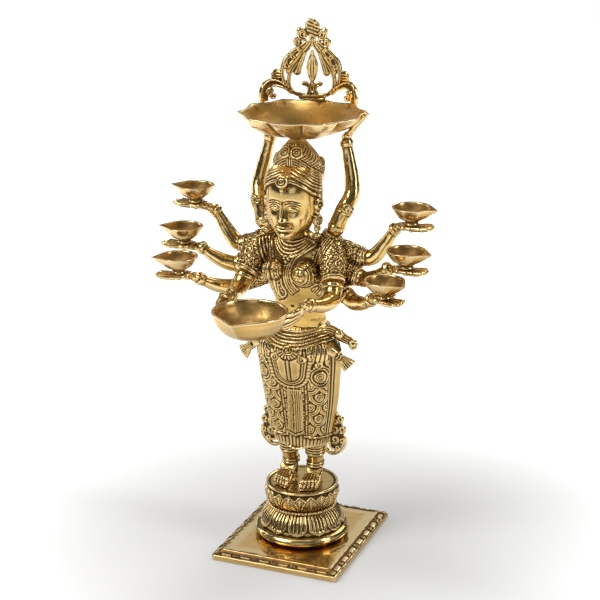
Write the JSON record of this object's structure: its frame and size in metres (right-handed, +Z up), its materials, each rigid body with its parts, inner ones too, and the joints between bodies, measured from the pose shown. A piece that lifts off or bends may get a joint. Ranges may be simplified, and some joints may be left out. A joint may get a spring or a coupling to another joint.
{
  "type": "standing oil lamp",
  "caption": "Standing devotional oil lamp in brass: a many-armed lamp-bearer on a double-lotus pedestal holds spouted oil cups, a front bowl and an overhead lotus bowl with a pierced crest.",
  "frame": {"origin": "centre of the base plate's underside", "axes": "+Z up, the figure faces -Y, +X to the figure's own left"},
  "size_m": [0.287, 0.252, 0.532],
  "materials": {
    "polished_brass": "hand-polished, slightly aged",
    "cast_brass": "polished casting with darker recesses",
    "carved_brass": "chased casting, dark patina in the recesses",
    "screw_brass": "turned, plain"
  },
  "bodies": {
    "lamp": {"base_plate": "polished_brass", "overhead_bowl": "polished_brass", "front_bowl": "polished_brass", "lotus_pedestal": "carved_brass", "torso": "carved_brass", "crown": "carved_brass", "lower_body": "carved_brass", "head": "cast_brass", "crest": "cast_brass", "upper_arm_left": "cast_brass", "middle_arm_left": "cast_brass", "lower_arm_left": "cast_brass", "front_arm_left": "cast_brass", "overhead_arm_left": "cast_brass", "front_bowl_pin_left": "screw_brass", "crest_pin_left": "screw_brass", "foot_screw_left": "screw_brass", "upper_arm_right": "cast_brass", "middle_arm_right": "cast_brass", "lower_arm_right": "cast_brass", "front_arm_right": "cast_brass", "overhead_arm_right": "cast_brass", "front_bowl_pin_right": "screw_brass", "crest_pin_right": "screw_brass", "foot_screw_right": "screw_brass", "plate_screw_1": "screw_brass", "plate_screw_2": "screw_brass", "plate_screw_3": "screw_brass", "plate_screw_4": "screw_brass", "bowl_screw": "screw_brass"},
    "upper_cup_left_body": {"upper_cup_left": "polished_brass", "upper_cup_screw_left": "screw_brass"},
    "upper_cup_right_body": {"upper_cup_right": "polished_brass", "upper_cup_screw_right": "screw_brass"},
    "middle_cup_left_body": {"middle_cup_left": "polished_brass", "middle_cup_screw_left": "screw_brass"},
    "middle_cup_right_body": {"middle_cup_right": "polished_brass", "middle_cup_screw_right": "screw_brass"},
    "lower_cup_left_body": {"lower_cup_left": "polished_brass", "lower_cup_screw_left": "screw_brass"},
    "lower_cup_right_body": {"lower_cup_right": "polished_brass", "lower_cup_screw_right": "screw_brass"}
  },
  "joints": [
    {"name": "upper_cup_turn_left", "type": "hinge", "parent": "lamp", "child": "upper_cup_left_body", "pos_m": [0.1135, -0.0032, 0.3525], "axis": [0, 0, 1], "continuous": true},
    {"name": "upper_cup_turn_right", "type": "hinge", "parent": "lamp", "child": "upper_cup_right_body", "pos_m": [-0.1135, -0.0032, 0.3525], "axis": [0, 0, 1], "continuous": true},
    {"name": "middle_cup_turn_left", "type": "hinge", "parent": "lamp", "child": "middle_cup_left_body", "pos_m": [0.1163, -0.0251, 0.3156], "axis": [0, 0, 1], "continuous": true},
    {"name": "middle_cup_turn_right", "type": "hinge", "parent": "lamp", "child": "middle_cup_right_body", "pos_m": [-0.1163, -0.0251, 0.3156], "axis": [0, 0, 1], "continuous": true},
    {"name": "lower_cup_turn_left", "type": "hinge", "parent": "lamp", "child": "lower_cup_left_body", "pos_m": [0.1066, -0.0591, 0.295], "axis": [0, 0, 1], "range_deg": [-120, 60]},
    {"name": "lower_cup_turn_right", "type": "hinge", "parent": "lamp", "child": "lower_cup_right_body", "pos_m": [-0.1066, -0.0591, 0.295], "axis": [0, 0, 1], "range_deg": [-60, 120]}
  ]
}
